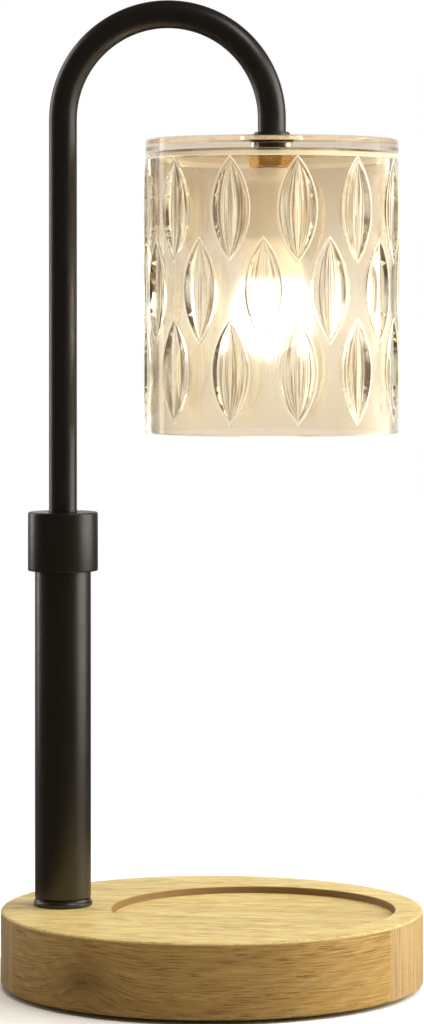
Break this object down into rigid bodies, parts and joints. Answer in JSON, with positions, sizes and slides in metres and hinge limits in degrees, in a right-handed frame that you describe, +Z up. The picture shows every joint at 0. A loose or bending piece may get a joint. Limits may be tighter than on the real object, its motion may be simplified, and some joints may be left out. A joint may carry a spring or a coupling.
{
  "type": "candle warmer lamp",
  "caption": "Candle warmer lamp: a cut glass shade hangs from a swan neck that slides and swivels in a post on a round wooden base with a shallow dish.",
  "frame": {"origin": "on the table under the centre of the round base", "axes": "+Z up; +X from the post towards the shade, in the plane of the swan neck; +Y away from the front"},
  "size_m": [0.15, 0.15, 0.3505],
  "materials": {
    "pale_wood": "satin lacquer",
    "black_powder_coat": "satin black powder coat",
    "black_steel_plate": "black painted steel plate",
    "zinc_steel": "bright zinc plated",
    "black_rubber": "matte",
    "white_nylon": "natural nylon",
    "warm_cut_glass": "clear, champagne tinted, pressed with olive cuts",
    "clear_silicone": "translucent silicone",
    "brass": "polished",
    "cream_porcelain": "glazed porcelain",
    "nickel_cap": "nickel plated",
    "frosted_bulb_glass": "frosted, lit from inside",
    "black_glass": "black glass bead",
    "tungsten": "dull wire",
    "lead_sheath": "two-core lead with a dark sheath"
  },
  "bodies": {
    "base": {"wood_base": "pale_wood", "bottom_plate": "black_steel_plate", "plate_screw_1": "zinc_steel", "plate_screw_2": "zinc_steel", "plate_screw_3": "zinc_steel", "plate_screw_4": "zinc_steel", "foot_pad_1": "black_rubber", "foot_pad_2": "black_rubber", "foot_pad_3": "black_rubber", "foot_pad_4": "black_rubber", "cord_gland": "black_rubber", "cord_clamp": "white_nylon", "clamp_screw_1": "zinc_steel", "clamp_screw_2": "zinc_steel", "base_lead": "lead_sheath", "post_lead": "lead_sheath", "post_foot": "black_powder_coat", "post_tube": "black_powder_coat", "hollow_stud": "zinc_steel", "stud_washer": "zinc_steel", "stud_nut": "zinc_steel", "threaded_neck": "zinc_steel"},
    "collet_body": {"collet": "white_nylon"},
    "collar_body": {"locking_collar": "black_powder_coat"},
    "slider": {"guide_bush": "white_nylon"},
    "arm": {"arm_tube": "black_powder_coat", "arm_lead": "lead_sheath", "guide_clip_1": "zinc_steel", "guide_clip_2": "zinc_steel", "shade": "warm_cut_glass", "upper_gasket": "clear_silicone", "lower_gasket": "clear_silicone", "top_washer": "black_powder_coat", "top_ferrule": "black_powder_coat", "shade_nut": "brass", "lampholder": "cream_porcelain", "terminal_screw_1": "brass", "terminal_screw_2": "brass", "screw_shell": "brass", "centre_contact": "brass"},
    "bulb_drop": {"bulb_tip": "nickel_cap"},
    "bulb": {"bulb_glass": "frosted_bulb_glass", "bulb_cap": "nickel_cap", "bulb_insulator": "black_glass", "filament_mount": "frosted_bulb_glass", "filament": "tungsten"}
  },
  "joints": [
    {"name": "height_slide", "type": "slide", "parent": "base", "child": "slider", "axis": [0, 0, 1], "range_m": [-0.055, 0.02], "deforming": ["post_lead"]},
    {"name": "arm_swivel", "type": "hinge", "parent": "slider", "child": "arm", "pos_m": [-0.0536, 0, 0.1], "axis": [0, 0, 1], "range_deg": [-170, 170]},
    {"name": "collar_rise", "type": "slide", "parent": "base", "child": "collet_body", "axis": [0, 0, 1], "range_m": [0, 0.00075]},
    {"name": "collar_turn", "type": "hinge", "parent": "collet_body", "child": "collar_body", "pos_m": [-0.0536, 0, 0.157], "axis": [0, 0, 1], "range_deg": [0, 180]},
    {"name": "bulb_unscrew", "type": "slide", "parent": "arm", "child": "bulb_drop", "axis": [0, 0, -1], "range_m": [0, 0.0124]},
    {"name": "bulb_turn", "type": "hinge", "parent": "bulb_drop", "child": "bulb", "pos_m": [0.0214, 0, 0.27], "axis": [0, 0, -1], "range_deg": [0, 1581.9]}
  ],
  "couplings": [
    {"joint": "collar_turn", "follows": "collar_rise", "rad_per_m": 4188.8},
    {"joint": "bulb_turn", "follows": "bulb_unscrew", "rad_per_m": 2226.5}
  ]
}
